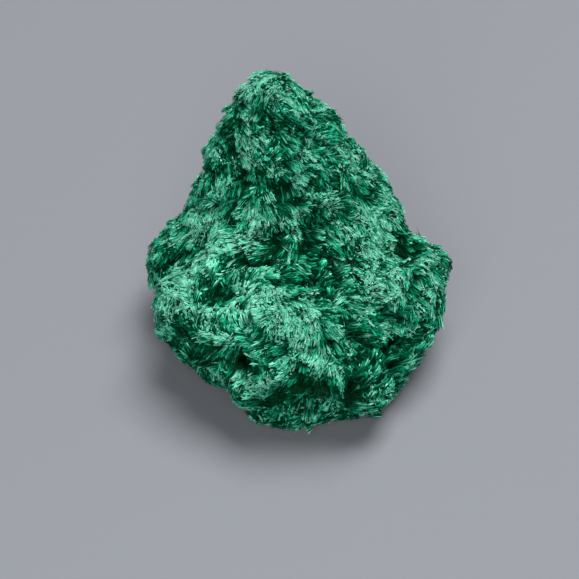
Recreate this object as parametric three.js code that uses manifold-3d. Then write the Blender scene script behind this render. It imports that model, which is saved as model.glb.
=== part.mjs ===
// A hand specimen of fibrous malachite: one piece of broken crystal mass that rests on a small
// flat face. The stone is a steep peak on a broad, sloping belly, with the hollows and ribs that
// are left where it broke. Sprays of fine crystals cover it, and this solid reaches to their tips.
//
// Millimetres, +Z up. The broad front looks along -Y, the peak stands towards the back, and the
// origin is under the middle of the stone, on the face that it rests on.

import * as THREE from "three";
import { mergeVertices } from "three/addons/utils/BufferGeometryUtils.js";
import Module from "manifold-3d";

// Driving dimensions.
const CORE = new THREE.Vector3(-1, 3, 20); // a point deep inside, which sees the whole surface
const REACH = 90; // further from the core than any point of the stone
const SURFACE_DETAIL = 20; // each of 20 starting triangles becomes (this + 1) squared
const BLEND = 5; // how far one lump runs smoothly into the next
const HOLLOW_BLEND = 3; // the same, at the rim of a hollow

// The lumps that the stone is made of: an ellipsoid, or a tapered ridge from one ball to another.
const LUMPS = [
  { name: "belly", at: [0, -1, 13], radii: [31.5, 27.5, 15.5] },
  { name: "shelf", at: [-1, -5, 19], radii: [24, 22, 12] },
  { name: "peak", from: [-1, 15, 22], fromRadius: 20, to: [-5, 26, 52], toRadius: 7.8 },
  { name: "left ridge of the peak", from: [-17.5, 16, 20.5], fromRadius: 10, to: [-9.5, 26, 49.5], toRadius: 5 },
  { name: "right ridge of the peak", from: [12, 18, 20], fromRadius: 12, to: [-0.5, 25, 47.5], toRadius: 5.5 },
  { name: "right shoulder", at: [12.6, 20, 29.2], radii: [8.2, 8, 9] },
  { name: "right back slope", from: [17.5, 15.5, 22], fromRadius: 7.8, to: [27, 11, 18], toRadius: 5 },
  { name: "right lobe", at: [25, 0.5, 14.5], radii: [10, 12.5, 11] },
  { name: "right horn", from: [29, 3, 16.5], fromRadius: 5, to: [34, 5.5, 19.5], toRadius: 2 },
  { name: "right spine", from: [14, 12, 25], fromRadius: 6, to: [20, -8, 24], toRadius: 5.5 },
  { name: "left lobe", from: [-25, -7, 19], fromRadius: 7.5, to: [-12, 3, 27], toRadius: 5 },
  { name: "far left lobe", at: [-26.6, 9.5, 14.6], radii: [8.5, 9, 10.2] },
  { name: "middle bulge", at: [-3, -16, 24], radii: [10, 9, 8] },
  { name: "rib beside the bowl", from: [-21, -18, 20], fromRadius: 5, to: [-9, -8, 27], toRadius: 4.5 },
  { name: "front lip", from: [-10, -24, 16], fromRadius: 5.5, to: [11, -24, 18], toRadius: 6 },
  { name: "front foot", at: [5, -21.7, 8.2], radii: [17, 8.3, 8.3] },
  { name: "small toe", from: [-3, -22, 6], fromRadius: 5, to: [-4, -25, 5.5], toRadius: 2.5 },
  { name: "right cheek", from: [21, -12, 9], fromRadius: 6.5, to: [16, -20.5, 8], toRadius: 6 },
];

// The hollows between them, given the same way.
const HOLLOWS = [
  { name: "hollow under the peak", from: [-8, 15, 55], fromRadius: 3, to: [5, 15, 52], toRadius: 4 },
  { name: "upper left pit", at: [-13, 9, 45], radii: [4, 4, 4] },
  { name: "upper middle pit", at: [-1, 4, 43.5], radii: [5, 4, 4.5] },
  { name: "middle valley", from: [5, 1, 37], fromRadius: 4.5, to: [10, -19, 33], toRadius: 4.5 },
  { name: "bowl", at: [-16, -11, 32], radii: [6.5, 5, 5.5] },
  { name: "left crevice", from: [-34, -3, 25], fromRadius: 2.5, to: [-22, 6, 29], toRadius: 2.5 },
  { name: "right pit", at: [24, 3, 29], radii: [4.5, 4.5, 4.5] },
  { name: "far right dimple", at: [30, -7, 27], radii: [4, 4, 3] },
  { name: "hollow under the lip", from: [-7, -33, 12], fromRadius: 3.5, to: [8, -33, 13], toRadius: 4 },
  { name: "front left pit", at: [-13, -28, 22], radii: [4, 4, 4] },
  { name: "lower left hollow", at: [-22, -27, 15], radii: [6, 5, 6] },
];

// The broken surface is knobbly at two scales: the width of a spray of crystals, and of half a one.
const KNOBS = [
  { spacing: 9, height: 1.6 },
  { spacing: 4.5, height: 0.9 },
];

// About the distance from an ellipsoid, negative inside it.
function ellipsoidField(point, form) {
  const [rx, ry, rz] = form.radii;
  const x = point.x - form.at[0];
  const y = point.y - form.at[1];
  const z = point.z - form.at[2];
  const near = Math.hypot(x / rx, y / ry, z / rz);
  const far = Math.hypot(x / (rx * rx), y / (ry * ry), z / (rz * rz));
  return far > 0 ? (near * (near - 1)) / far : -Math.min(rx, ry, rz);
}

// The distance from a tapered ridge: the skin stretched over a ball at each end.
function ridgeField(point, form) {
  const start = new THREE.Vector3(...form.from);
  const axis = new THREE.Vector3(...form.to).sub(start);
  const length = axis.length();
  const sine = (form.fromRadius - form.toRadius) / length;
  const cosine = Math.sqrt(1 - sine * sine);
  const local = point.clone().sub(start);
  const along = local.dot(axis) / length;
  const across = Math.sqrt(Math.max(0, local.lengthSq() - along * along));
  const foot = cosine * along - sine * across;
  if (foot < 0) return Math.hypot(across, along) - form.fromRadius;
  if (foot > cosine * length) return Math.hypot(across, along - length) - form.toRadius;
  return cosine * across + sine * along - form.fromRadius;
}

function formField(point, form) {
  return form.radii ? ellipsoidField(point, form) : ridgeField(point, form);
}

function smoothUnion(a, b, blend) {
  const overlap = Math.max(blend - Math.abs(a - b), 0) / blend;
  return Math.min(a, b) - (overlap * overlap * blend) / 4;
}

function smoothCut(a, b, blend) {
  return -smoothUnion(-a, b, blend);
}

// A repeatable value from -1 to 1 for each point of a lattice: its numbers, well stirred.
function latticeValue(i, j, k) {
  const stirred = Math.imul(i, 374761393) + Math.imul(j, 668265263) + Math.imul(k, 1103515245);
  const mixed = Math.imul(stirred ^ (stirred >>> 13), 1274126177);
  const whole = (mixed ^ (mixed >>> 16)) >>> 0;
  return (2 * whole) / 0xffffffff - 1;
}

// The lattice values, run smoothly into each other.
function knobHeight(point, spacing) {
  const scaled = point.clone().divideScalar(spacing);
  const cell = scaled.clone().floor();
  const [x, y, z] = scaled.sub(cell).toArray().map((part) => part * part * (3 - 2 * part));
  let height = 0;
  for (const i of [0, 1]) {
    for (const j of [0, 1]) {
      for (const k of [0, 1]) {
        const weight = (i ? x : 1 - x) * (j ? y : 1 - y) * (k ? z : 1 - z);
        height += weight * latticeValue(cell.x + i, cell.y + j, cell.z + k);
      }
    }
  }
  return height;
}

// Negative inside the stone, positive outside, and about the distance in millimetres near it.
function stoneField(point) {
  let field = Infinity;
  for (const lump of LUMPS) {
    const own = formField(point, lump);
    field = field === Infinity ? own : smoothUnion(field, own, BLEND);
  }
  for (const hollow of HOLLOWS) field = smoothCut(field, formField(point, hollow), HOLLOW_BLEND);
  for (const knob of KNOBS) field -= knob.height * knobHeight(point, knob.spacing);
  return field;
}

// The outermost point of the stone along a direction from its core, found by stepping inwards.
function surfacePoint(direction) {
  const closeEnough = 0.005;
  const caution = 0.6; // the field is only about a distance, so no step goes all of the way
  const mostSteps = 400;
  const point = new THREE.Vector3();
  let reach = REACH;
  for (let step = 0; step < mostSteps; step += 1) {
    point.copy(direction).multiplyScalar(reach).add(CORE);
    const gap = stoneField(point);
    if (gap < closeEnough) break;
    reach -= gap * caution;
  }
  return point;
}

// A geometry with only its places, and one vertex at each place.
function joined(geometry) {
  geometry.deleteAttribute("normal");
  geometry.deleteAttribute("uv");
  return mergeVertices(geometry, 1e-5);
}

// A ball of fine triangles, drawn in until each corner lies on the stone.
function stoneSkin() {
  const skin = joined(new THREE.IcosahedronGeometry(1, SURFACE_DETAIL));
  const places = skin.getAttribute("position");
  const direction = new THREE.Vector3();
  for (let i = 0; i < places.count; i += 1) {
    direction.fromBufferAttribute(places, i).normalize();
    places.setXYZ(i, ...surfacePoint(direction));
  }
  return skin;
}

function asSolid(wasm, geometry) {
  return new wasm.Manifold(
    new wasm.Mesh({
      numProp: 3,
      vertProperties: new Float32Array(geometry.getAttribute("position").array),
      triVerts: new Uint32Array(geometry.index.array),
    }),
  );
}

function asGeometry(solid) {
  const mesh = solid.getMesh();
  const geometry = new THREE.BufferGeometry();
  geometry.setAttribute("position", new THREE.BufferAttribute(mesh.vertProperties, 3));
  geometry.setIndex(new THREE.BufferAttribute(mesh.triVerts, 1));
  return geometry;
}

// The stone: its skin, cut off flat below, with the origin moved under its middle.
function stoneShape(wasm) {
  const below = new THREE.BoxGeometry(4 * REACH, 4 * REACH, 2 * REACH).translate(0, 0, -REACH);
  const shape = asGeometry(asSolid(wasm, stoneSkin()).subtract(asSolid(wasm, joined(below))));
  shape.computeBoundingBox();
  const middle = shape.boundingBox.getCenter(new THREE.Vector3());
  shape.translate(-middle.x, -middle.y, 0);
  shape.computeVertexNormals();
  return shape;
}

const wasm = await Module();
wasm.setup();

const malachite = new THREE.MeshStandardMaterial({ color: 0x1c7150, roughness: 0.5, metalness: 0 });
const stone = new THREE.Mesh(stoneShape(wasm), malachite);
stone.name = "malachite_stone";

const specimen = new THREE.Group();
specimen.add(stone);
export default specimen;
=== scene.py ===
# %% [markdown]
# # A hand specimen of fibrous malachite
#
# Malachite of this kind grows as needles finer than a pin. They start from many points and
# spread as sprays, like the bristles of a worn brush, until neighbouring sprays meet. When the
# stone is broken out of its vein, it parts along the needles, so its surface is a shingle of
# torn sprays: silky where the needles lie flat, and pale and frosty where their ends stand up.
#
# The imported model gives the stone's size, place and outline. This lesson gives it its surface:
# first a fine body with a step for each spray, and then more than a hundred thousand needles,
# each a small closed solid of its own, laid along the sprays.

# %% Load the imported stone
import math

import bpy
import numpy as np
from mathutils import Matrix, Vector, noise
from mathutils.kdtree import KDTree


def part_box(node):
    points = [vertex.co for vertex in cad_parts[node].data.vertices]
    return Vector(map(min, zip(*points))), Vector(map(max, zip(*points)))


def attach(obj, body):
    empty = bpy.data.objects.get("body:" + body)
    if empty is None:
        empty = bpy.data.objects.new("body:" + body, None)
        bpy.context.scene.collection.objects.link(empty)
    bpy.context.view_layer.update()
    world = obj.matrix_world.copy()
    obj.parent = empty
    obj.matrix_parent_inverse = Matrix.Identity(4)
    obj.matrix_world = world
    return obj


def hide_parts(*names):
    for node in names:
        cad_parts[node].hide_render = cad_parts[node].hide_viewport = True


MM = 0.001
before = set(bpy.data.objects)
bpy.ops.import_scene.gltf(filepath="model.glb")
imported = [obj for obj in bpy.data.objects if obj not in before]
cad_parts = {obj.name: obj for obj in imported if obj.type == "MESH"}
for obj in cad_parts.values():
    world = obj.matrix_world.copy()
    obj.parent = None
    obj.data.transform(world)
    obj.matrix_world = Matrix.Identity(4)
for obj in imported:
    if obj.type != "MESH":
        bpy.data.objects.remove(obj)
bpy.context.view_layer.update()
packed_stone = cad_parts["malachite_stone"]
low, high = (np.array(corner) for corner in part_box("malachite_stone"))
size = high - low
print("stone, in mm:", np.round(size / MM, 1))

# %% [markdown]
# ## Camera, floor and light
#
# The stone lies on a plain pale grey table, seen from in front and well above, with a long
# lens that keeps its outline calm. One broad soft lamp behind and above it, to the right,
# rakes over the sprays, so that each step has a lit edge and a dark gap. A weak, wide lamp in
# front opens the shadows. A sharp sun would show the steps too, but would burn out the silky
# needles.

# %% Camera
VIEW_DOWN = math.radians(50)
VIEW_DISTANCE = 373 * MM
LENS_LENGTH = 100
aim = Vector((-2.1 * MM, -1.4 * MM, 16.5 * MM))
back = Vector((0, -math.cos(VIEW_DOWN), math.sin(VIEW_DOWN)))
lens = bpy.data.cameras.new("camera")
lens.lens = LENS_LENGTH
lens.clip_start = 10 * MM
camera = bpy.data.objects.new("camera", lens)
camera.location = aim + back * VIEW_DISTANCE
camera.rotation_euler = (-back).to_track_quat("-Z", "Y").to_euler()
bpy.context.scene.collection.objects.link(camera)
bpy.context.scene.camera = camera
view_up = np.array((0, math.sin(VIEW_DOWN), math.cos(VIEW_DOWN)))


# %% Materials start alike
def new_material(name):
    """A material with a Principled shader, and its tree and shader."""
    material = bpy.data.materials.new(name)
    material.use_nodes = True
    tree = material.node_tree
    return material, tree, tree.nodes["Principled BSDF"]


# %% Floor
TABLE_SIZE = 6
TABLE_GREY = (0.232, 0.243, 0.268, 1)

bpy.ops.object.select_all(action="DESELECT")
bpy.ops.mesh.primitive_plane_add(size=TABLE_SIZE)
floor = bpy.context.object
floor.name = "table_top"
table_grey, tree, shader = new_material("pale_table")
shader.inputs["Base Color"].default_value = TABLE_GREY
shader.inputs["Roughness"].default_value = 0.8
floor.data.materials.append(table_grey)


# %% Lamps
SKY_COLOUR = (0.9, 0.95, 1.0, 1)
SKY_STRENGTH = 0.10


def soft_lamp(name, place, width, power):
    """A square area lamp that faces the stone."""
    lamp = bpy.data.lights.new(name, "AREA")
    lamp.size = width
    lamp.energy = power
    holder = bpy.data.objects.new(name, lamp)
    holder.location = place
    holder.rotation_euler = (aim - Vector(place)).to_track_quat("-Z", "Y").to_euler()
    bpy.context.scene.collection.objects.link(holder)


soft_lamp("key", place=(0.22, 0.32, 1.18), width=0.70, power=18.0)
soft_lamp("fill", place=(-0.10, -0.50, 0.42), width=0.5, power=2.4)
sky = bpy.data.worlds.new("studio")
sky.use_nodes = True
background = sky.node_tree.nodes["Background"]
background.inputs["Color"].default_value = SKY_COLOUR
background.inputs["Strength"].default_value = SKY_STRENGTH
bpy.context.scene.world = sky
bpy.context.scene.view_settings.view_transform = "Standard"

# %% [markdown]
# ## The body
#
# The body is what is left in the gaps between needles: a mass of needles too close to tell apart. It
# is coloured darker than the needles, partly as the mass's own deep green and partly as painted shade
# in the gaps. A copy of the imported stone is a good start, because it has the right outline. Its
# facets are large, so it is remeshed into small even cells, which can then hold a step for each spray.
# A subdivision would also be fine, but would keep the long facets' uneven sizes.

# %% Copy the stone and remesh it
BODY_CELL = 0.45 * MM


def only(piece):
    """Makes piece the one selected and active object."""
    bpy.ops.object.select_all(action="DESELECT")
    piece.select_set(True)
    bpy.context.view_layer.objects.active = piece


def add_modifier(piece, kind, **settings):
    """Adds a modifier with these settings, and applies it."""
    only(piece)
    modifier = piece.modifiers.new(kind.lower(), kind)
    for key, value in settings.items():
        setattr(modifier, key, value)
    bpy.ops.object.modifier_apply(modifier=modifier.name)


def copy_of(piece, name):
    """A new object with its own copy of piece's mesh."""
    made = bpy.data.objects.new(name, piece.data.copy())
    bpy.context.scene.collection.objects.link(made)
    return made


def places_of(piece):
    """The places of a piece's vertices, one row each."""
    places = np.empty(3 * len(piece.data.vertices), np.float32)
    piece.data.vertices.foreach_get("co", places)
    return places.reshape(-1, 3).astype(float)


def normals_of(piece):
    """The outward directions at a piece's vertices, one row each."""
    normals = np.empty(3 * len(piece.data.vertices), np.float32)
    piece.data.vertices.foreach_get("normal", normals)
    return normals.reshape(-1, 3).astype(float)


body = copy_of(packed_stone, "malachite_mass")
body.data.materials.clear()
only(body)
bpy.ops.object.mode_set(mode="EDIT")
bpy.ops.mesh.select_all(action="SELECT")
bpy.ops.mesh.remove_doubles(threshold=0.01 * MM)
bpy.ops.object.mode_set(mode="OBJECT")
add_modifier(body, "REMESH", mode="VOXEL", voxel_size=BODY_CELL, adaptivity=0.0)
add_modifier(body, "SMOOTH", factor=0.5, iterations=6)
print("body vertices:", len(body.data.vertices), "faces:", len(body.data.polygons))

# %% [markdown]
# ## Crests and pits
#
# Needles on a crest are knocked about: their broken ends stand up and look frosty. In a pit they are
# whole and silky. Crests are also painted lighter and pits darker, as painted light and shade. The
# imported stone's own lumps tell some of this: a copy of the body that is smoothed until only its bulk
# is left lies under the crests and over the hollows. The smaller crests and pits are marked in a
# table, each with a path, a width and a strength, which is below zero for a pit. The back and the
# sides get marks by chance, about as many.
#
# Needles also break off in clumps. All of a clump stand at one height and lean one way, and it
# ends at a ragged edge. Smooth noise would blur that edge, so the body is shared out in cells:
# each point takes the chance values of the nearest of some scattered middles. Crumbs are smaller
# cells of the same kind.

# %% Measure how far each point stands proud
BULK_ROUNDS = 400
SLOPE_ROUNDS = 60
CLUMP = 1.8 * MM
CRUMB = 1.0 * MM
CELL_RAGGEDNESS = 0.12
CELL_SPREAD = 0.3


def smoothed(piece, rounds):
    """The places and normals of a piece after smoothing, without changing the piece."""
    copy = copy_of(piece, "smoothed")
    add_modifier(copy, "SMOOTH", factor=0.5, iterations=rounds)
    found = places_of(copy), normals_of(copy)
    bpy.data.objects.remove(copy)
    return found


def patchy(points, patch, seed):
    """Smooth noise from about -1 to 1 at these points, with patches of this size."""
    return np.array([noise.noise(Vector(point) / patch + Vector((seed, 0, 0))) for point in points])


def in_cells(points, width, kinds, rng):
    """Chance values about zero, alike all over each ragged cell, in one row for each kind."""
    count = int(len(points) * (BODY_CELL / width) ** 2)
    tree = KDTree(count)
    for i, middle in enumerate(points[rng.permutation(len(points))[:count]]):
        tree.insert(middle, i)
    tree.balance()
    ragged = points + rng.normal(0, CELL_RAGGEDNESS * width, points.shape)
    cells = [tree.find(point)[1] for point in ragged]
    return rng.normal(0, CELL_SPREAD, (kinds, count))[:, cells]


places = places_of(body)
bulk_places, _ = smoothed(body, BULK_ROUNDS)
_, slopes = smoothed(body, SLOPE_ROUNDS)
proud = ((places - bulk_places) * slopes).sum(1) / MM
rng = np.random.default_rng(3)
clump_turn, clump_lift, clump_tone = in_cells(places, CLUMP, 3, rng)
crumbs = in_cells(places, CRUMB, 1, rng)[0]
print("proud, in mm, 5/50/95%:", np.percentile(proud, (5, 50, 95)).round(2))

# %% [markdown]
# ### Marks in a table
#
# A mark is a path over the stone, a width, both in millimetres, and a strength. A place on a path
# has three numbers, across, back and up, or only two: how far across and how far up it is seen
# from the front. Its depth is then that of the body's own skin there, which is the surer way,
# because a place with its own depth can miss the surface.
#
# This table is not a good example. Most of its places and widths were first written here by another
# program, from its own printout, and changed and added to afterwards. The comb strokes' places further
# down come from such a printout too.

# %% Marks: path and width in mm, and strength
MARKS = [
    ("tip of the peak", [(-11, 25, 56), (-5, 24, 59)], 2.6, 1.3),
    ("front of the tip", [(-9, 22, 55), (-5, 21, 57)], 2.0, 1.0),
    ("below the tip, right", [(0, 19, 53), (5, 19.5, 51.5)], 1.6, -0.8),
    ("right edge of the peak", [(-1, 21, 56), (6, 22, 51)], 2.3, 0.6),
    ("right of the hollow", [(3, 16, 51), (3, 15, 49)], 1.8, 0.2),
    ("left of the hollow", [(-8, 15, 50), (-11, 14, 47), (-11, 12.5, 46)], 1.8, 1.4),
    ("left brow", [(-12, 19, 52)], 1.3, 0.8),
    ("under the hollow", [(-8, 11, 45), (0, 8, 46)], 1.3, 0.4),
    ("under the hollow, left", [(-6.5, 35)], 1.6, 1.0),
    ("upper right edge", [(10, 16, 44), (17, 16, 36)], 2.6, 0.8),
    ("right edge", [(20, 16, 33), (22, 13, 30)], 2.0, 0.5),
    ("below the middle pit", [(0, 3, 39)], 1.5, 1.5),
    ("middle left", [(-10, 3, 37), (-8, 0, 35)], 1.8, 1.3),
    ("left rim", [(-30, -6, 24), (-27, 0, 24), (-21, -2, 28), (-17, 19), (-11, 0, 33)], 1.8, 0.7),
    ("left lobe", [(-30, 7), (-25, 7), (-27.5, 10.5), (-24, -7, 28)], 2.3, 1.5),
    ("behind the right edge", [(9.5, 27, 45), (11.5, 26, 42)], 2.6, -0.8),
    ("behind the right slope", [(24.5, 16, 28)], 2.2, -0.8),
    ("above the horn", [(29, 9, 24)], 2.0, -1.3),
    ("low on the right cheek", [(21.5, -21.5, 13), (21.5, -24, 8), (18, -27, 6)], 2.4, -1.2),
    ("right of the cheek", [(26, -7)], 1.8, 0.9),
    ("left slope", [(-25, 10, 27), (-20, 5, 31)], 2.3, 0.8),
    ("inside the left slope", [(-16, 4, 33.5)], 2.0, -0.9),
    ("rib by the bowl", [(-20, -18, 27), (-15, -14, 28), (-11, -11, 30)], 1.5, 0.7),
    ("left front", [(-17, -22, 25), (-15, -24, 23)], 1.5, 0.7),
    ("back of the bulge", [(-10, -18, 32), (-5, -15, 32)], 2.3, 1.3),
    ("behind the bulge", [(-6.5, 11.5), (-2, -10.5, 31), (2, -9, 29)], 1.8, -0.9),
    ("bulge", [(-4, -21, 32), (-2, -23, 31)], 2.8, 1.5),
    ("right of the bulge", [(1, -25, 29)], 2.0, 1.4),
    ("top of the spine", [(15, 7, 33), (20, 6, 29)], 2.6, 1.0),
    ("right edge of the spine", [(21, 21)], 1.8, 1.5),
    ("above the left brow", [(-15, 23, 50)], 1.5, 0.8),
    ("middle of the spine", [(17, -2, 30)], 2.0, 1.8),
    ("foot of the spine", [(16.5, 12), (19, -7, 29), (21, -12, 28)], 2.3, 2.2),
    ("inside the spine", [(12, 0, 32)], 1.8, 0.8),
    ("inside the spine, lower", [(12, -8, 29)], 1.8, -0.4),
    ("right wall of the valley", [(7.8, 1.2, 32)], 1.5, -0.8),
    ("right front", [(14, -16, 26)], 2.0, 0.3),
    ("right lobe", [(28, 0, 25)], 1.5, 1.1),
    ("right lobe, lower", [(30, -6, 23), (32, -7, 19)], 2.0, 0.5),
    ("horn", [(33, 5, 23)], 1.3, 0.6),
    ("lip, middle", [(-6, -29, 24), (-3, -29, 25)], 1.8, 0.6),
    ("lip, right", [(4, -28.5, 24), (8, -29.5, 23)], 2.0, 0.9),
    ("lip, left", [(-10, -13), (-7, -11)], 1.8, 1.5),
    ("above the lip", [(9, -25, 25)], 1.5, 0.1),
    ("front foot", [(7, -31, 12), (10, -32, 11)], 1.5, 0.6),
    ("cheek", [(16.5, -6.5)], 2.2, -1.4),
    ("hollow under the peak", [(-8, 18, 52), (-5, 16, 52), (0, 14, 52)], 2.3, -0.4),
    ("stripe on the peak", [(-1, 20, 57), (2, 20, 54)], 1.0, -0.4),
    ("left flank", [(-15, 19, 48), (-16, 39.5), (-18, 14, 41)], 2.0, -0.9),
    ("small pit", [(-5, 12, 49), (-3, 10, 48)], 1.0, -1.2),
    ("left pit", [(-12, 11, 42), (-14, 9, 39)], 1.5, -0.9),
    ("middle pit", [(-3, 6, 42), (0, 4, 41)], 2.3, -1.9),
    ("valley, upper", [(4, 2, 35), (3, -5, 30)], 2.1, -1.3),
    ("valley, lower", [(4, -10, 29), (7, -12, 29)], 2.0, -1.5),
    ("right of the valley, lower", [(7.5, 16.5), (7.5, 11.5)], 1.8, -1.3),
    ("beside the valley", [(-4, -1, 35), (-5, -4, 33), (-8, -6, 31)], 1.5, -1.0),
    ("upper right pit", [(6, 10, 44), (9, 9, 40)], 1.5, -0.8),
    ("above the upper right pit", [(7, 14, 44.5)], 1.5, 0.8),
    ("below the upper right pit", [(7.5, 30), (2.5, 30)], 1.6, 1.1),
    ("right of the small pit", [(2.5, 38.5)], 1.6, -0.6),
    ("low left of the upper right pit", [(2.7, 8, 44.5)], 1.5, -0.9),
    ("right pit", [(15, 12, 35), (18, 15, 34)], 1.3, -0.6),
    ("right hollow", [(24, 6, 26), (26, 5, 25.5), (25, 3, 25)], 2.4, -1.6),
    ("right hollow, lower", [(26, -5, 24.5), (26, -8, 25)], 1.8, -1.6),
    ("under the spine", [(19, -15, 25), (21.5, -16, 23)], 1.5, -1.2),
    ("crevice", [(-32, 0, 20), (-29, 3, 23), (-24, 3, 25), (-22, 2, 29)], 1.1, -1.1),
    ("bowl", [(-20.5, -9.5, 28.9), (-20, -12, 28), (-16, -12, 28)], 2.3, -1.4),
    ("above the bowl", [(-16, 16.5), (-11.5, 16.5)], 1.4, -0.9),
    ("below the rib", [(-16, -19.4, 26.5)], 1.5, -0.9),
    ("left under-edge", [(-27, -18, 21.5), (-25, -2), (-20.5, -7)], 2.0, -1.2),
    ("left under-edge, outer", [(-31, -15, 14), (-28, -20, 12)], 2.6, -0.7),
    ("front left pit", [(-16.5, -26, 20.5), (-15, -25, 22), (-12, -26, 21)], 2.0, -1.2),
    ("foot of the valley", [(7, -24, 26)], 1.5, -0.8),
    ("right of the bulge, low", [(11, -21, 26), (14, -22, 24)], 1.8, -1.3),
    ("right of the bulge, high", [(7.5, -19, 28), (12, -19, 27)], 1.6, -0.9),
    ("between the pits", [(12, -24, 25)], 1.3, 1.0),
    ("right cheek", [(19, -21, 19), (23, -18, 17)], 1.8, -1.2),
    ("above the cheek", [(13, -28, 22), (16.6, -23, 22.5)], 2.0, -1.2),
    ("under the lip, right", [(13, -31, 19), (11, -32, 15)], 2.3, -1.1),
    ("front of the foot", [(-2, -32.5, 14), (3, -33, 13)], 1.8, -1.0),
    ("under the foot", [(3, -33, 6), (12, -32, 6)], 2.0, -0.8),
    ("under the lip", [(-8, -31, 12), (-4, -32, 18), (0, -32, 20), (6, -32, 19)], 2.0, -1.2),
    ("pit by the spine", [(14, -6, 30)], 1.3, -0.9),
    ("middle of the front", [(6, -19, 30)], 1.5, -0.5),
]
BACK_MARK_GAP = 4.6 * MM
BACK_MARK_WIDTH = (1.4 * MM, 2.8 * MM)
BACK_MARK_STRENGTH = (-1.3, 1.2)
FACES_FRONT = 0.12  # a slope that faces the front less than this has its marks by chance


def scattered(points, gap, rng):
    """A random choice of these points, none nearer to another than gap."""
    order = rng.permutation(len(points))
    tree = KDTree(len(points))
    for i, point in enumerate(points):
        tree.insert(point, i)
    tree.balance()
    free = np.ones(len(points), bool)
    chosen = []
    for i in order:
        if free[i]:
            chosen.append(i)
            free[[j for _, j, _ in tree.find_range(points[i], gap)]] = False
    return np.array(chosen)


random = np.random.default_rng(11)
back_marks = scattered(places, BACK_MARK_GAP, random)
back_marks = back_marks[slopes[back_marks] @ np.array(back) < FACES_FRONT]


def distance_to_path(points, path):
    """How far each point is from the nearest point of a path of straight stretches."""
    nearest = np.linalg.norm(points - path[0], axis=1)
    for start, end in zip(path[:-1], path[1:]):
        stretch = end - start
        share = ((points - start) @ stretch / (stretch @ stretch)).clip(0, 1)
        apart = np.linalg.norm(points - start - share[:, None] * stretch, axis=1)
        nearest = np.minimum(nearest, apart)
    return nearest


# %% Find places on the skin
SIGHT_STEEPNESS = 6  # how much further off a place counts for each millimetre aside of the sight


def seen_at(across, up):
    """The place of the skin that is seen this far across and up, in mm, from the front."""
    aside = np.hypot(places[:, 0] - across * MM, places @ view_up - up * MM)
    return places[(places @ np.array(back) - SIGHT_STEEPNESS * aside).argmax()]


def on_stone(place):
    """A place of a mark in metres, whether it was given with its depth or as it is seen."""
    return seen_at(*place) if len(place) == 2 else np.array(place, float) * MM


relief = np.zeros(len(places))
for _, path, width, strength in MARKS:
    apart = distance_to_path(places, np.array([on_stone(place) for place in path]))
    relief += strength * np.exp(-((apart / (width * MM)) ** 2))
for place in places[back_marks]:
    apart = np.linalg.norm(places - place, axis=1)
    strength = random.uniform(*BACK_MARK_STRENGTH)
    relief += strength * np.exp(-((apart / random.uniform(*BACK_MARK_WIDTH)) ** 2))
print("marks:", len(MARKS), "in the table and", len(back_marks), "by chance")

# %% [markdown]
# ## Which way the needles run
#
# The needles' direction changes slowly over the stone and gives it its look, like the lie of an
# animal's coat. It could be left to chance, but then the large swirls would be lost. So each
# large spray gets one comb stroke: how far across and up it lies as seen from the front,
# in millimetres, and an angle with 0 to the right and 90 up. The stone's own skin tells how deep
# each stroke lies. Between strokes the direction is blended. The back and the sides, which have
# no strokes, get needles that spread from a few growth centres.

# %% Comb strokes
STROKES = [
    ("tip of the peak, left", (-8, 54), 195),
    ("tip of the peak, right", (0, 53), -38),
    ("left edge of the peak", (-13, 49), 225),
    ("over the hollow", (-2, 48), -5),
    ("right of the hollow", (5, 45), 50),
    ("left of the hollow", (-8, 45), 15),
    ("under the hollow", (-3, 40), -27),
    ("right of the peak", (8, 38), -28),
    ("left flank", (-16, 38), -72),
    ("foot of the left flank", (-13, 31), 262),
    ("over the middle", (3, 33), -38),
    ("left of the middle", (-8, 30), -62),
    ("left slope", (-20, 26), 230),
    ("left slope, inner", (-11, 26), 212),
    ("left edge", (-29, 24), 218),
    ("middle", (1, 28), 0),
    ("right spine, upper", (10, 22), -48),
    ("right slope", (20, 25), -35),
    ("right spine, lower", (15, 16), -62),
    ("right saddle", (22, 17), -40),
    ("left band", (-23, 19), 208),
    ("middle band, left", (-14, 20), 200),
    ("middle band, right", (0, 18), 0),
    ("valley", (7, 13), -2),
    ("far left", (-34, 16), 245),
    ("far right", (30, 17), -14),
    ("left lobe", (-24, 10), 140),
    ("bowl", (-19, 10), -15),
    ("rim of the bowl", (-13, 9), 42),
    ("rib by the bowl", (-17, 4), 28),
    ("top of the bulge", (-6, 12), 8),
    ("right front", (16, 9), -14),
    ("bulge", (-2, 5), 250),
    ("right cheek, upper", (23, 3), -68),
    ("valley, lower", (8, 5), 0),
    ("left front, upper", (-29, 6), 250),
    ("left front", (-16, 0), 184),
    ("left front, outer", (-24, -4), 150),
    ("left front, lower", (-19, -7), 265),
    ("lip, left", (-4, -4), 205),
    ("lip, middle", (5, -4), 268),
    ("lip, right", (16, -4), 22),
    ("right cheek, lower", (23, -4), 15),
    ("under the lip, left", (-10, -10), 212),
    ("under the lip", (-3, -14), 232),
    ("front foot", (5, -15), 254),
    ("front foot, right", (16, -12), 28),
]
STROKE_REACH = 6.5 * MM
GROWTH_CENTRES = 14
GROWTH_SHARE = 0.04


def unit(vectors):
    """Vectors at length 1."""
    return vectors / np.maximum(np.linalg.norm(vectors, axis=-1, keepdims=True), 1e-12)


def laid_flat(vectors, normals):
    """Vectors turned into the surface, at length 1."""
    return unit(vectors - (vectors * normals).sum(-1, keepdims=True) * normals)


stroke_places = np.array([seen_at(*place) for _, place, _ in STROKES])
stroke_angles = np.radians([angle for _, _, angle in STROKES])
view_right = np.array((1.0, 0.0, 0.0))
stroke_ways = np.outer(np.cos(stroke_angles), view_right)
stroke_ways += np.outer(np.sin(stroke_angles), view_up)
centre_places = places[random.choice(len(places), GROWTH_CENTRES, replace=False)]


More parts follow.
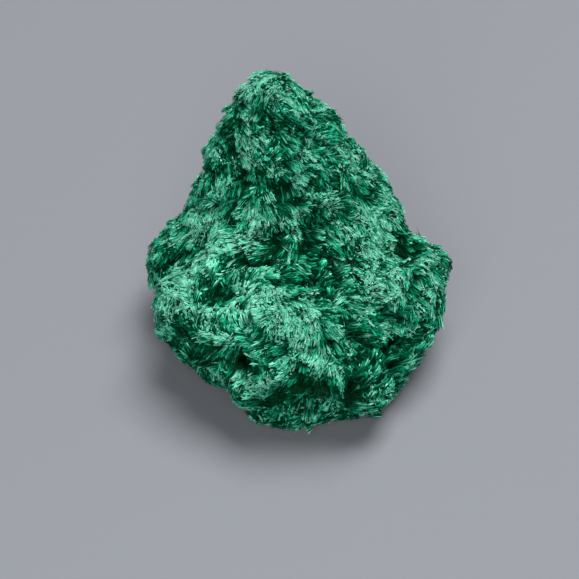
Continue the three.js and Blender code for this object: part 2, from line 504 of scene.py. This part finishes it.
def lie_of_needles(points, normals):
    """The direction in which needles run at these points of the surface."""
    apart = np.linalg.norm(points[:, None] - stroke_places[None], axis=2)
    weights = np.exp(-((apart / STROKE_REACH) ** 2))
    combed = weights @ stroke_ways
    away = points[:, None] - centre_places[None]
    nearest = np.linalg.norm(away, axis=2).argmin(1)
    spread = unit(away[np.arange(len(points)), nearest])
    return laid_flat(combed + GROWTH_SHARE * spread, normals)


print("comb strokes:", len(STROKES))

# %% [markdown]
# ## Sprays
#
# Each spray is a fan that widens and rises from its root to its torn end, and drops there to the
# spray below: a roof shingle with a ragged edge. The sprays are scattered evenly and each takes
# the lie of the needles at its place, turned a little by chance. A few are wild, and turn far
# aside, because a mass that is combed all over looks like a coat of hair. Where sprays overlap,
# the higher one shows.

# %% Scatter the sprays
SPRAY_GAP = 3.1 * MM
SPRAY_LENGTH = (5.5 * MM, 10.0 * MM)
SPRAY_HALF_WIDTH = (1.6 * MM, 3.4 * MM)
SPRAY_RISE = (0.4 * MM, 1.9 * MM)
SPRAY_TURN = math.radians(22)
WILD_SHARE = 0.3
WILD_TURN = math.radians(80)
SPRAY_TILT = 0.35
SPRAY_TONE = 0.16
CREST_RISE = 0.5 * MM
PIT_DEPTH = 1.9 * MM
CLUMP_RISE = 1.0 * MM

seeds = scattered(places, SPRAY_GAP, random)
count = len(seeds)
spray_place = places[seeds]
spray_normal = slopes[seeds]
spray_along = lie_of_needles(spray_place, spray_normal)
spray_across = np.cross(spray_normal, spray_along)
turn = random.normal(0, SPRAY_TURN, count)
wild = random.random(count) < WILD_SHARE
turn += np.where(wild, random.uniform(-WILD_TURN, WILD_TURN, count), 0)
turn = turn[:, None]
spray_along = unit(spray_along * np.cos(turn) + spray_across * np.sin(turn))
spray_across = np.cross(spray_normal, spray_along)
spray_length = random.uniform(*SPRAY_LENGTH, count)
spray_half_width = random.uniform(*SPRAY_HALF_WIDTH, count)
spray_rise = random.uniform(*SPRAY_RISE, count)
spray_tone = random.normal(0, SPRAY_TONE, count)
spray_phase = random.uniform(0, 1, count)
spray_tilt = random.normal(0, SPRAY_TILT, count)
print("sprays:", count)

# %% How high each spray raises the body
SPRAY_SEARCH = 0.62  # half the size of the box that a spray is looked for in, as a share of its length
SPRAY_DEPTH = 0.45
ROOT_WIDTH = 0.5
WIDENING = 0.7
END_CURVE = 0.22
RISE_POWER = 1.3

owner = np.zeros(len(places), int)
best = np.full(len(places), -1.0)
for i in range(count):
    near = np.flatnonzero(np.abs(places - spray_place[i]).max(1) < SPRAY_SEARCH * spray_length[i])
    from_middle = places[near] - spray_place[i]
    along = from_middle @ spray_along[i] / spray_length[i] + 0.5
    width = spray_half_width[i] * (ROOT_WIDTH + WIDENING * along.clip(0, 1))
    across = from_middle @ spray_across[i] / width
    depth = np.abs(from_middle @ spray_normal[i])
    inside = (along > 0) & (along < 1 - END_CURVE * across**2) & (np.abs(across) < 1)
    inside &= depth < SPRAY_DEPTH * spray_length[i]
    lean = 1 + spray_tilt[i] * across
    height = spray_rise[i] * lean * along.clip(0, 1) ** RISE_POWER
    height *= (1 - across**4).clip(0, 1) ** 0.5
    wins = inside & (height > best[near])
    best[near[wins]] = height[wins]
    owner[near[wins]] = i
rise = best.clip(0, None)
print("covered by sprays:", round(float((best > 0).mean()), 3))

# %% Raise the body into shingles
BODY_INSET = 1.5 * MM
PIT_POWER = 1.5
REST_BAND = 1.5 * MM
REST_SLOPE = -0.5
REST_INSET = 0.3 * MM
BOX_MARGIN = 0.02 * MM

inset = BODY_INSET - CREST_RISE * relief.clip(0, 1) + PIT_DEPTH * (-relief).clip(0, 1) ** PIT_POWER
inset -= CLUMP_RISE * clump_lift
resting = (places[:, 2] - low[2] < REST_BAND) & (slopes[:, 2] < REST_SLOPE)
inset[resting] = REST_INSET
rise[resting] = 0
body_places = places - slopes * inset[:, None] + slopes * rise[:, None]
body_places = body_places.clip(low + BOX_MARGIN, high - BOX_MARGIN)
body.data.vertices.foreach_set("co", body_places.astype(np.float32).ravel())
body.data.update()
print("resting on the table:", int(resting.sum()), "vertices")

# %% [markdown]
# ## Colour of the needles
#
# A single needle is clear green glass to look at: dark and deep where it is buried, and pale mint at
# its tip. Both are painted into its colour: the darkening towards the root is painted shade, for light
# that is lost deep in the coat, and the pale tip is painted light, for light that comes out at the
# broken end. Each needle carries two numbers in its map: how far along it a point is, and the needle's
# own tone. One node group turns the two into a colour, and every needle material uses it with its own
# shift. The pattern could be noise in space, but then colour would cut across needles instead of
# belonging to them.

# %% Node group: tone to green
GREENS = [
    (0.00, (0.0002, 0.012, 0.0035)),
    (0.22, (0.0004, 0.056, 0.020)),
    (0.42, (0.0012, 0.170, 0.070)),
    (0.60, (0.003, 0.380, 0.185)),
    (0.78, (0.020, 0.620, 0.350)),
    (0.93, (0.095, 0.840, 0.525)),
    (1.00, (0.330, 0.940, 0.700)),
]
LEAST_ROUGH = 0.34
PALE_ROUGHER = 0.22

greens = bpy.data.node_groups.new("needle_green", "ShaderNodeTree")
greens.interface.new_socket("Tone", in_out="INPUT", socket_type="NodeSocketFloat")
greens.interface.new_socket("Along", in_out="INPUT", socket_type="NodeSocketFloat")
greens.interface.new_socket("Pale tip", in_out="INPUT", socket_type="NodeSocketFloat")
greens.interface.new_socket("Color", in_out="OUTPUT", socket_type="NodeSocketColor")
greens.interface.new_socket("Roughness", in_out="OUTPUT", socket_type="NodeSocketFloat")
group_in = greens.nodes.new("NodeGroupInput")
group_out = greens.nodes.new("NodeGroupOutput")


def math_node(tree, operation, first, second, clamp=False):
    """A Math node on two sockets or numbers. Returns its result."""
    node = tree.nodes.new("ShaderNodeMath")
    node.operation = operation
    node.use_clamp = clamp
    for slot, value in zip(node.inputs, (first, second)):
        if isinstance(value, bpy.types.NodeSocket):
            tree.links.new(value, slot)
        else:
            slot.default_value = value
    return node.outputs["Value"]


# Painted light and shade along the needle: paler towards the tip, darker towards the buried root.
towards_tip = math_node(greens, "MULTIPLY", group_in.outputs["Along"], group_in.outputs["Pale tip"])
lightness = math_node(greens, "ADD", group_in.outputs["Tone"], towards_tip, clamp=True)
ramp = greens.nodes.new("ShaderNodeValToRGB")
steps = ramp.color_ramp.elements
for _ in GREENS[2:]:
    steps.new(0.5)
for step, (at, colour) in zip(steps, GREENS):
    step.position = at
    step.color = (*colour, 1)
greens.links.new(lightness, ramp.inputs["Fac"])
greens.links.new(ramp.outputs["Color"], group_out.inputs["Color"])
rough = math_node(greens, "MULTIPLY_ADD", lightness, PALE_ROUGHER)
rough.node.inputs[2].default_value = LEAST_ROUGH
greens.links.new(rough, group_out.inputs["Roughness"])

# %% Materials of the needles
MALACHITE_IOR = 1.7


def needle_material(name, pale_tip, specular):
    """Needles that are coloured by their own map."""
    material, tree, shader = new_material(name)
    own_map = tree.nodes.new("ShaderNodeUVMap")
    own_map.uv_map = "OFBake"
    parts = tree.nodes.new("ShaderNodeSeparateXYZ")
    tree.links.new(own_map.outputs["UV"], parts.inputs["Vector"])
    group = tree.nodes.new("ShaderNodeGroup")
    group.node_tree = greens
    tree.links.new(parts.outputs["X"], group.inputs["Along"])
    tree.links.new(parts.outputs["Y"], group.inputs["Tone"])
    group.inputs["Pale tip"].default_value = pale_tip
    tree.links.new(group.outputs["Color"], shader.inputs["Base Color"])
    tree.links.new(group.outputs["Roughness"], shader.inputs["Roughness"])
    shader.inputs["IOR"].default_value = MALACHITE_IOR
    shader.inputs["Specular IOR Level"].default_value = specular
    return material


# pale_tip sets how much painted light each needle gets at its tip.
bedded_green = needle_material("bedded_needles", pale_tip=0.24, specular=0.03)
frosted_green = needle_material("frosted_needles", pale_tip=0.28, specular=0.02)
print("greens on the ramp:", len(GREENS))

# %% [markdown]
# ## Colour of the body
#
# In the gaps the body shows as needles too close to tell apart: fine streaks that run along each
# spray. It is set darker than the needles, partly as its own deep green and partly as painted shade in
# the gaps. A wave texture would give even stripes. Noise that is stretched along the spray is more
# like them, so the body gets a map that counts streak widths across and streak lengths along.

# %% Material of the body
STREAK_WIDTH = 0.28 * MM
STREAK_LENGTH = 3.0 * MM
STREAK_SHIFT = 7.3  # how far on in the noise each next spray starts
DEEP_GREEN_AND_GAP_SHADE = 0.38
RIDGE_HEIGHT = 0.1 * MM

streak_map = body.data.uv_layers.new(name="Along sprays")
loop_vertices = np.empty(len(body.data.loops), np.int32)
body.data.loops.foreach_get("vertex_index", loop_vertices)
from_middle = places - spray_place[owner]
lanes = (from_middle * spray_across[owner]).sum(1) / STREAK_WIDTH
runs = (from_middle * spray_along[owner]).sum(1) / STREAK_LENGTH + STREAK_SHIFT * owner
streak_spots = np.stack([lanes, runs], 1)[loop_vertices]
streak_map.uv.foreach_set("vector", streak_spots.astype(np.float32).ravel())

mass_green, tree, shader = new_material("dark_mass")
own_map = tree.nodes.new("ShaderNodeUVMap")
own_map.uv_map = "Along sprays"
streaks = tree.nodes.new("ShaderNodeTexNoise")
streaks.inputs["Scale"].default_value = 1.0
streaks.inputs["Detail"].default_value = 2
tree.links.new(own_map.outputs["UV"], streaks.inputs["Vector"])
group = tree.nodes.new("ShaderNodeGroup")
group.node_tree = greens
# Darker than the needles: the mass's own deep green, and painted shade in the gaps.
streak_tone = math_node(tree, "SUBTRACT", streaks.outputs["Fac"], DEEP_GREEN_AND_GAP_SHADE)
tree.links.new(streak_tone, group.inputs["Tone"])
tree.links.new(group.outputs["Color"], shader.inputs["Base Color"])
ridges = tree.nodes.new("ShaderNodeBump")
ridges.inputs["Distance"].default_value = RIDGE_HEIGHT
tree.links.new(streaks.outputs["Fac"], ridges.inputs["Height"])
tree.links.new(ridges.outputs["Normal"], shader.inputs["Normal"])
shader.inputs["Roughness"].default_value = 0.9
shader.inputs["Specular IOR Level"].default_value = 0.05
body.data.materials.append(mass_green)
print("body map corners:", len(loop_vertices))

# %% [markdown]
# ## One needle
#
# A needle starts as nothing, in the depth of its spray, widens very slowly, and ends where it
# broke, in a small slanted facet. It is a little wider than it is thick. So it is a long cone
# with three sides, stood on its point and flattened, with its flat end tilted. Four triangles are
# enough, because there are many thousands of needles, each a fraction of a millimetre wide.

# %% Model the needle
END_SLANT = 0.05
FLATNESS = 0.6

bpy.ops.object.select_all(action="DESELECT")
bpy.ops.mesh.primitive_cone_add(vertices=3, radius1=0, radius2=1, depth=1, location=(0, 0, 0.5))
needle = bpy.context.object
needle.scale.y = FLATNESS
bpy.ops.object.transform_apply(location=True, scale=True)
needle_places = places_of(needle)
at_end = needle_places[:, 2] > 0.5
needle_places[at_end, 2] += END_SLANT * (needle_places[at_end, 0] - 1)
needle_faces = [list(face.vertices) for face in needle.data.polygons]
bpy.data.objects.remove(needle)
print("needle:", len(needle_places), "vertices,", len(needle_faces), "faces")

# %% [markdown]
# ## Stamping needles
#
# Particles or instances would be the quick way to place needles, but they don't leave the file as
# mesh. So the one needle is stamped by arithmetic: every vertex of every needle is its root, plus
# its length along the needle, plus its width and its thickness across it.


# %% Where the stamped vertices are
def needle_corners(roots, ways, sides, lengths, widths):
    """The places of all vertices: one row for each needle, one column for each of its vertices."""
    uppers = np.cross(ways, sides)
    x, y, z = needle_places.T
    reach = lengths[:, None] * z[None]
    built = roots[:, None] + ways[:, None] * reach[..., None]
    built += sides[:, None] * (widths[:, None] * x)[..., None]
    built += uppers[:, None] * (widths[:, None] * y)[..., None]
    return built


# %% Their faces
needle_loops = np.concatenate(needle_faces)
needle_starts = np.cumsum([0] + [len(face) for face in needle_faces[:-1]])


def needle_mesh(name, built):
    """A mesh of closed needles with these vertices."""
    amount = len(built)
    vertex_shift = np.arange(amount)[:, None] * len(needle_places)
    loop_shift = np.arange(amount)[:, None] * len(needle_loops)
    corners = (needle_loops[None] + vertex_shift).astype(np.int32)
    starts = (needle_starts[None] + loop_shift).astype(np.int32)
    mesh = bpy.data.meshes.new(name)
    mesh.vertices.add(amount * len(needle_places))
    mesh.vertices.foreach_set("co", built.astype(np.float32).ravel())
    mesh.loops.add(amount * len(needle_loops))
    mesh.loops.foreach_set("vertex_index", corners.ravel())
    mesh.polygons.add(amount * len(needle_starts))
    mesh.polygons.foreach_set("loop_start", starts.ravel())
    return mesh


# %% Their map, and the finished piece
AROUND_SHIFT = 0.003  # keeps a needle's sides apart on the map, too little to change its tone
MAP_EDGE = 0.002


def write_needle_map(mesh, tones):
    """Writes how far along its needle each corner is, and the needle's tone."""
    own_map = mesh.uv_layers.new(name="OFBake")
    turn = np.arctan2(needle_places[:, 1], needle_places[:, 0]) / math.pi
    spots = np.empty((len(tones), len(needle_loops), 2), np.float32)
    spots[..., 0] = needle_places[needle_loops, 2]
    spots[..., 1] = tones[:, None] + AROUND_SHIFT * turn[needle_loops]
    own_map.uv.foreach_set("vector", spots.clip(MAP_EDGE, 1 - MAP_EDGE).ravel())


def stamped(name, built, tones, material):
    """A mesh piece of needles with these vertices and tones, which rides on the stone."""
    mesh = needle_mesh(name, built)
    write_needle_map(mesh, tones)
    mesh.update(calc_edges=True)
    mesh.validate()
    piece = bpy.data.objects.new(name, mesh)
    bpy.context.scene.collection.objects.link(piece)
    piece.data.materials.append(material)
    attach(piece, "root")


print("corners of a needle's faces:", len(needle_loops))

# %% [markdown]
# ## Four kinds of needle
#
# The lowest coat is silky: needles that lie flat and close along their sprays, deep green, in
# strands of three that are alike. Among them lie broad blades, one by one. Pale needles, freed at
# the break, still run the same way, in patches. On the crests stand the frosted ones: short,
# broken off, and leaning this way and that. All are laid by one function, with their own lengths
# and leanings.

# %% How frosty each point of the body is
PATCH = 3.2 * MM
FROST = 0.12
FROST_RELIEF = 1.6
FROST_PROUD = 0.15
FROST_PATCH = 2.0
FREED = 0.30
FREED_RELIEF = 0.6
FREED_PATCH = 1.2
LEAST_FREED = 0.04
FROST_HIDES = 0.7

frosty = FROST + FROST_RELIEF * relief + FROST_PROUD * proud
frosty = (frosty + FROST_PATCH * patchy(places, PATCH, seed=3.0)).clip(0, 1)
freed = FREED + FREED_RELIEF * relief + FREED_PATCH * patchy(places, PATCH, seed=17.0)
freed = freed.clip(LEAST_FREED, 1)
silky = 1 - FROST_HIDES * frosty
print("frosty share:", round(float(frosty.mean()), 2), "freed share:", round(float(freed.mean()), 2))


# %% Points on the body
def surface_points(amount, wanted, rng):
    """Random points of the body, denser where more is wanted, and a body vertex beside each."""
    corners = np.empty(4 * len(body.data.polygons), np.int32)
    body.data.polygons.foreach_get("vertices", corners)
    corners = corners.reshape(-1, 4)
    areas = np.empty(len(corners), np.float32)
    body.data.polygons.foreach_get("area", areas)
    shares = areas * wanted[corners].mean(1)
    picks = rng.choice(len(corners), amount, p=shares / shares.sum(dtype=float))
    weights = rng.dirichlet(np.ones(4), amount)
    return (body_places[corners[picks]] * weights[..., None]).sum(1), corners[picks, 0]


# %% [markdown]
# ### Directions and ribs within a spray
#
# A spray's needles fan out from a point behind and below its root. They are bunched in ribs, which
# also fan out, with a groove between each two, so a spray looks fluted like a shell. The ribs raise
# the needles and are painted lighter, with painted shade in the grooves. They cost no mesh of their
# own.

# %% Fans and ribs
FAN_FLARE = 1.6
FAN_DEPTH = 0.35
RIB_WIDTH = 1.15 * MM
RIB_HEIGHT = 0.32 * MM
RIB_TONE = 0.42
RIB_MIDDLE = 0.6
RIB_START = 0.3  # nearer the fan's point than this share of its radius, ribs don't narrow further

fan_radius = 0.5 * spray_length + FAN_FLARE * spray_half_width


def fan_ways(points, sprays):
    """The direction of the needles of these sprays at these points: away from the fan's point."""
    fan_point = spray_place - spray_along * fan_radius[:, None]
    fan_point = fan_point - spray_normal * (FAN_DEPTH * spray_length)[:, None]
    return unit(points - fan_point[sprays])


def ribs(points, sprays):
    """How high each point is on its rib: from 0 in a groove to 1 on a crest, less the middle."""
    from_middle = points - spray_place[sprays]
    radius = fan_radius[sprays]
    along = (from_middle * spray_along[sprays]).sum(1) + radius
    across = (from_middle * spray_across[sprays]).sum(1)
    lane = across / along.clip(RIB_START * radius, None) * radius / RIB_WIDTH
    return np.abs(np.cos(math.pi * (lane + spray_phase[sprays]))) - RIB_MIDDLE


# %% [markdown]
# ### Strands
#
# Needles grow in strands of a few that are alike, so a coat is laid strand by strand. A strand
# takes its direction from the fan, its clump and some chance, and its height from its rib and its
# crumb. It stops at the torn end of its spray, so that the step there stays sharp.

# %% Direction of the strands
STEEPNESS = 0.95  # how far needles follow the rise of their spray
CLUMP_STEEP = 0.5


def strand_ways(points, beside, swing, clump_swing, lift, rng):
    """The direction of each strand."""
    sprays = owner[beside]
    normals = slopes[beside]
    flat_ways = laid_flat(fan_ways(points, sprays), normals)
    turn = rng.normal(0, swing, len(points)) + clump_swing * clump_turn[beside]
    flat_ways = unit(flat_ways + np.cross(normals, flat_ways) * turn[:, None])
    steepness = STEEPNESS * spray_rise[sprays] / spray_length[sprays] + rng.normal(*lift, len(points))
    steepness += CLUMP_STEEP * clump_lift[beside]
    return unit(flat_ways + normals * steepness[:, None])


# %% Length and height of the strands
SPRAY_END = 0.53
END_RAGGEDNESS = 0.04
MOST_AHEAD = 0.4
LEAST_AHEAD = 0.1 * MM
CRUMB_HEIGHT = 0.30 * MM
CALM_CRUMB = 0.4


def along_spray(points, sprays):
    """How far each point is from its spray's middle towards its torn end."""
    return ((points - spray_place[sprays]) * spray_along[sprays]).sum(1)


def crumb_at(beside):
    """The crumb values at these body vertices, weaker where the needles are silky."""
    return crumbs[beside] * (CALM_CRUMB + (1 - CALM_CRUMB) * frosty[beside])


def strand_roots(points, beside, ways, length, height, rng):
    """The root, the length and the chance rise of each strand."""
    sprays = owner[beside]
    lengths = rng.uniform(*length, len(points))
    room = (SPRAY_END + rng.normal(0, END_RAGGEDNESS, len(points))) * spray_length[sprays]
    room = (room - along_spray(points, sprays)).clip(LEAST_AHEAD, None)
    ahead = np.minimum(MOST_AHEAD * lengths, room)
    roots = points - ways * (lengths - ahead)[:, None]
    raised = rng.normal(0, 1, len(points))
    above = height[0] + height[1] * raised + RIB_HEIGHT * ribs(points, sprays)
    above = above + CRUMB_HEIGHT * crumb_at(beside)
    return roots + slopes[beside] * above[:, None], lengths, raised


# %% Needles of a strand
STRAND_PITCH = 0.26 * MM
STRAND_SHUFFLE = 0.2
STRAND_PITCH_CHANCE = (0.8, 1.2)
STRAND_STEP = 0.04 * MM
STRAND_ROLL = math.radians(26)
STRAND_OPENING = 0.3
NEEDLE_ROLL = math.radians(20)
NEEDLE_LENGTH = (0.88, 1.04)


def rolled(sides, ways, roll):
    """Sides turned about their ways."""
    return sides * np.cos(roll) + np.cross(ways, sides) * np.sin(roll)


def in_strands(roots, ways, sides, lengths, per_strand, stray, rng):
    """Each strand as its needles, side by side: roots, ways, sides and lengths."""
    shape = (len(roots), per_strand)
    uppers = np.cross(ways, sides)
    lane = np.arange(per_strand) - 0.5 * (per_strand - 1) + rng.normal(0, STRAND_SHUFFLE, shape)
    lane *= STRAND_PITCH * rng.uniform(*STRAND_PITCH_CHANCE, (len(roots), 1))
    step = rng.normal(0, STRAND_STEP, shape)
    roots = roots[:, None] + sides[:, None] * lane[..., None] + uppers[:, None] * step[..., None]
    opening = sides[:, None] * (lane / lengths[:, None] * STRAND_OPENING)[..., None]
    ways = unit(ways[:, None] + opening + rng.normal(0, stray, roots.shape))
    roll = rng.normal(0, NEEDLE_ROLL, (*shape, 1))
    sides = rolled(laid_flat(np.repeat(sides[:, None], per_strand, 1), ways), ways, roll)
    lengths = lengths[:, None] * rng.uniform(*NEEDLE_LENGTH, shape)
    return roots.reshape(-1, 3), ways.reshape(-1, 3), sides.reshape(-1, 3), lengths.ravel()


# %% [markdown]
# ### Tone of the strands
#
# A strand's tone holds painted light and shade. It is painted lighter on a crest, on a rib, near the
# torn end of its spray, and where it lies high or faces up, as if lit from above. It is painted darker
# in a pit, in a groove, and where the next spray overhangs it, at its spray's sides and root, as
# shade. Each spray and clump also has a tone of its own, by chance. Chance adds more where the stone
# is frosty than where it is calm and silky.

# %% Tone of each strand
RAISED_TONE = 0.12
RELIEF_TONE = 0.38
END_TONE = 0.44
EDGE_SHADE_TONE = 0.18
EDGE_SHADE_START = 0.1
CLUMP_TONE = 0.35
CRUMB_TONE = 0.6
TOP_LIGHT_TONE = 0.22
TOP_LIGHT_MIDDLE = 0.5
TOP_LIGHT_RANGE = (-0.6, 0.3)


def strand_tones(points, beside, raised):
    """How much lighter or darker than its coat each strand is."""
    sprays = owner[beside]
    # Painted shade at the spray's root and sides, where the next spray overhangs it, and painted light
    # towards its torn end.
    towards_end = (along_spray(points, sprays) / spray_length[sprays]).clip(-0.5, 0.5)
    from_axis = ((points - spray_place[sprays]) * spray_across[sprays]).sum(1)
    at_side = (np.abs(from_axis) / spray_half_width[sprays]).clip(0, 1) ** 4
    at_root = (-towards_end - EDGE_SHADE_START).clip(0, 1) / (0.5 - EDGE_SHADE_START)
    # Painted light from above: slopes that face up are lighter, slopes that face aside or down darker.
    painted_top_light = (slopes[beside, 2] - TOP_LIGHT_MIDDLE).clip(*TOP_LIGHT_RANGE)
    # Painted light on the crests and painted shade in the pits, from the marks.
    tones = RELIEF_TONE * relief[beside].clip(-1, 1)
    # Painted light on a rib and painted shade in its groove.
    tones += RIB_TONE * ribs(points, sprays) + END_TONE * towards_end
    # Painted light and shade by height: a strand that lies higher is lighter.
    tones += RAISED_TONE * raised + spray_tone[sprays] - EDGE_SHADE_TONE * (at_side + at_root)
    # A clump's own chance tone, with painted light where the clump stands higher.
    tones += CLUMP_TONE * (clump_tone + clump_lift)[beside] + TOP_LIGHT_TONE * painted_top_light
    # Painted light and shade by height: a crumb that stands higher is lighter, a sunken one darker.
    return tones + CRUMB_TONE * crumb_at(beside)


# %% One coat of needles
CALM = 0.6
WILDEST = 1.25


def coat(strands, per_strand, wanted, length, swing, clump_swing, lift, height, stray, rng):
    """Needles in strands: roots, ways, sides, lengths, and each strand's tone and unrest."""
    points, beside = surface_points(strands, wanted, rng)
    ways = strand_ways(points, beside, swing, clump_swing, lift, rng)
    roots, lengths, raised = strand_roots(points, beside, ways, length, height, rng)
    sides = unit(np.cross(slopes[beside], ways))
    sides = rolled(sides, ways, rng.normal(0, STRAND_ROLL, (strands, 1)))
    needles = in_strands(roots, ways, sides, lengths, per_strand, stray, rng)
    unrest = CALM + (WILDEST - CALM) * frosty[beside]
    return *needles, strand_tones(points, beside, raised), unrest


def within_stone(roots, ways, lengths, widths):
    """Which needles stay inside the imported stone's box."""
    tips = roots + ways * lengths[:, None]
    margin = widths[:, None]
    inside = (np.minimum(roots, tips) > low + margin) & (np.maximum(roots, tips) < high - margin)
    return inside.all(1)


# %% [markdown]
# ### From strands to a piece
#
# Each needle's tone is its strand's, and some chance of its own. Above a knee the tones are eased
# together, so that frosted places keep their contrast and don't run to one pale green. A few of the
# shortest needles get painted glints: they are made paler than their strand, as a painted highlight.

# %% Lay a coat
NEEDLE_TONE = 0.32
TONE_KNEE = 0.60
TONE_GIVE = 0.8
MOST_TONE = 0.90
GLINT_TONE = 0.2
GLINT_SHARE = 0.12
GLINT_LENGTH = 1.2 * MM


def lay(name, found, base_tone, tone_spread, radius, material, rng):
    """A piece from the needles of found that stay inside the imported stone's box."""
    roots, ways, sides, lengths, tones, unrest = found
    per_strand = len(roots) // len(tones)
    tones = tones + base_tone + rng.normal(0, tone_spread, len(tones)) * unrest
    own_chance = rng.normal(0, NEEDLE_TONE, len(roots)) * np.repeat(unrest, per_strand)
    tones = np.repeat(tones, per_strand) + own_chance
    # Painted glints: a few short needles are made paler, as a painted highlight.
    glints = (rng.random(len(roots)) < GLINT_SHARE) & (lengths < GLINT_LENGTH)
    tones -= (1 - TONE_GIVE) * (tones - TONE_KNEE).clip(0)
    tones = tones.clip(0, MOST_TONE) + GLINT_TONE * glints
    widths = rng.uniform(*radius, len(roots))
    keep = within_stone(roots, ways, lengths, widths)
    built = needle_corners(roots[keep], ways[keep], sides[keep], lengths[keep], widths[keep])
    stamped(name, built, tones[keep], material)
    print(name, "needles:", int(keep.sum()))


# %% Silky needles
for number in range(2):
    rng = np.random.default_rng(100 + number)
    found = coat(
        strands=11000,
        per_strand=3,
        wanted=silky,
        length=(2.0 * MM, 4.6 * MM),
        swing=0.06,
        clump_swing=0.6,
        lift=(0.0, 0.03),
        height=(0.02 * MM, 0.08 * MM),
        stray=0.012,
        rng=rng,
    )
    name = f"bedded_needles_{number + 1}"
    lay(name, found, 0.16, 0.15, radius=(0.08 * MM, 0.15 * MM), material=bedded_green, rng=rng)

# %% Blades
rng = np.random.default_rng(150)
found = coat(
    strands=8000,
    per_strand=1,
    wanted=silky,
    length=(1.0 * MM, 3.0 * MM),
    swing=0.35,
    clump_swing=1.6,
    lift=(0.0, 0.08),
    height=(0.12 * MM, 0.08 * MM),
    stray=0.0,
    rng=rng,
)
lay("blades", found, 0.29, 0.16, radius=(0.15 * MM, 0.38 * MM), material=bedded_green, rng=rng)

# %% Pale needles
rng = np.random.default_rng(200)
found = coat(
    strands=8500,
    per_strand=2,
    wanted=freed,
    length=(1.0 * MM, 3.6 * MM),
    swing=0.16,
    clump_swing=1.0,
    lift=(0.02, 0.05),
    height=(0.17 * MM, 0.07 * MM),
    stray=0.03,
    rng=rng,
)
lay("pale_needles", found, 0.48, 0.26, radius=(0.07 * MM, 0.13 * MM), material=frosted_green, rng=rng)

# %% Frosted needles
for number in range(2):
    rng = np.random.default_rng(300 + number)
    found = coat(
        strands=14000,
        per_strand=2,
        wanted=frosty,
        length=(0.4 * MM, 1.5 * MM),
        swing=0.5,
        clump_swing=2.6,
        lift=(0.06, 0.18),
        height=(0.13 * MM, 0.12 * MM),
        stray=0.06,
        rng=rng,
    )
    name = f"frosted_needles_{number + 1}"
    lay(name, found, 0.52, 0.24, radius=(0.07 * MM, 0.15 * MM), material=frosted_green, rng=rng)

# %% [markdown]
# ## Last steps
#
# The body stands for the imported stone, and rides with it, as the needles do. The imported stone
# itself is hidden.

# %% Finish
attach(body, "root")
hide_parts("malachite_stone")
